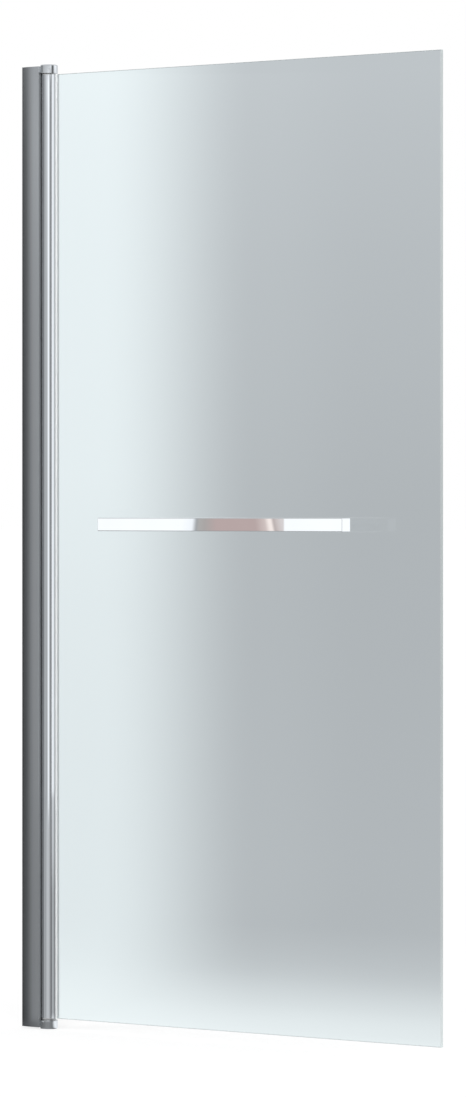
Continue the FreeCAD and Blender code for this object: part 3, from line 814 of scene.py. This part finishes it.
JAW_LEVELS = (0.0075, 1.3918)
JAW_CARD_Y = -0.0355
JAW_SPAN = (0.0205, 0.0360)
JAW_BANDS = graded(
    cool,
    (JAW_SPAN[0], 0.22),
    (0.0243, 0.22),
    (0.0250, 0.98),
    (0.0285, 0.98),
    (0.0294, 0.50),
    (JAW_SPAN[1], 0.50),
)
JAW_FADE = graded(
    grey,
    (JAW_LEVELS[0], 0.90),
    (0.0105, 0.80),
    (0.014, 0.52),
    (0.018, 0.45),
    (0.19, 0.45),
    (0.25, 0.62),
    (0.33, 0.70),
    (0.345, 1.0),
)
JAW_FLAG_Y = -0.015
JAW_FLAG_SPAN = (0.0328, 0.0403)
JAW_FLAG_BANDS = graded(
    cool,
    (JAW_FLAG_SPAN[0], 0.17),
    (0.0336, 0.18),
    (0.0350, 0.28),
    (0.0366, 0.43),
    (0.0375, 0.46),
    (JAW_FLAG_SPAN[1], 0.46),
)


def make_jaw_cards():
    """A narrow bright card for the glazing jaw's flat front.

    The flag hides it from the tube and from the lip of the wall profile.
    """
    material, emission = glow_material("jaw_card")
    axes = object_axes(material)
    bands = colour_ramp(material, axes["X"], JAW_BANDS, *JAW_SPAN)
    fade = colour_ramp(material, axes["Z"], JAW_FADE, *JAW_LEVELS)
    link(material, mix_colours(material, "MULTIPLY", 1.0, bands, fade), emission.inputs["Color"])
    card = add_upright_card(
        "jaw_card", material,
        place=(0.0, JAW_CARD_Y, 0.0), turned=0.0, span=JAW_SPAN, levels=JAW_LEVELS)

    flag_material, flag_glow = glow_material("jaw_flag")
    across = object_axes(flag_material)["X"]
    shading = colour_ramp(flag_material, across, JAW_FLAG_BANDS, *JAW_FLAG_SPAN)
    link(flag_material, shading, flag_glow.inputs["Color"])
    flag = add_upright_card(
        "jaw_flag", flag_material,
        place=(0.0, JAW_FLAG_Y, 0.0), turned=0.0, span=JAW_FLAG_SPAN, levels=JAW_LEVELS)
    for piece in (card, flag):
        seen_only_by(piece, glossy=True)


# Lights and camera

LIGHT_TARGET = (SCREEN_WIDTH / 2.0, 0.0, SCREEN_HEIGHT / 2.0)
LIGHT_SIDE = 2.4


def add_soft_light(name, location, power):
    """A square light aimed at the screen's middle, kept out of reflections and of the glass."""
    light = bpy.data.lights.new(name, "AREA")
    light.shape = "SQUARE"
    light.size = LIGHT_SIDE
    light.energy = power
    holder = bpy.data.objects.new(name, light)
    holder.location = location
    along, inward, up = [end - start for start, end in zip(location, LIGHT_TARGET)]
    tilt = math.atan2(math.hypot(along, inward), -up)
    holder.rotation_euler = (tilt, 0.0, math.atan2(-along, inward))
    holder.visible_glossy = False
    holder.visible_transmission = False
    bpy.context.scene.collection.objects.link(holder)


CAMERA_PLACE = (5.20442, -6.08194, 0.75583)
CAMERA_TURN = 38.4075
CAMERA_LENS = 179.475
CAMERA_SENSOR = 36.0
CAMERA_SHIFT = -0.03647
CAMERA_FAR = 400.0


def make_camera():
    data = bpy.data.cameras.new("camera")
    data.lens = CAMERA_LENS
    data.sensor_width = CAMERA_SENSOR
    data.shift_y = CAMERA_SHIFT
    data.clip_end = CAMERA_FAR
    camera = bpy.data.objects.new("camera", data)
    camera.location = CAMERA_PLACE
    camera.rotation_euler = (math.radians(QUARTER_TURN), 0.0, math.radians(CAMERA_TURN))
    bpy.context.scene.collection.objects.link(camera)
    bpy.context.scene.camera = camera


make_world()
make_floor()
make_tent()
make_cove()
make_bar_cards()
make_jaw_cards()
add_soft_light("key", location=(2.6, -3.4, 3.6), power=130.0)
add_soft_light("fill", location=(-2.8, -3.0, 2.4), power=50.0)
make_camera()
bpy.context.scene.view_settings.view_transform = "Standard"
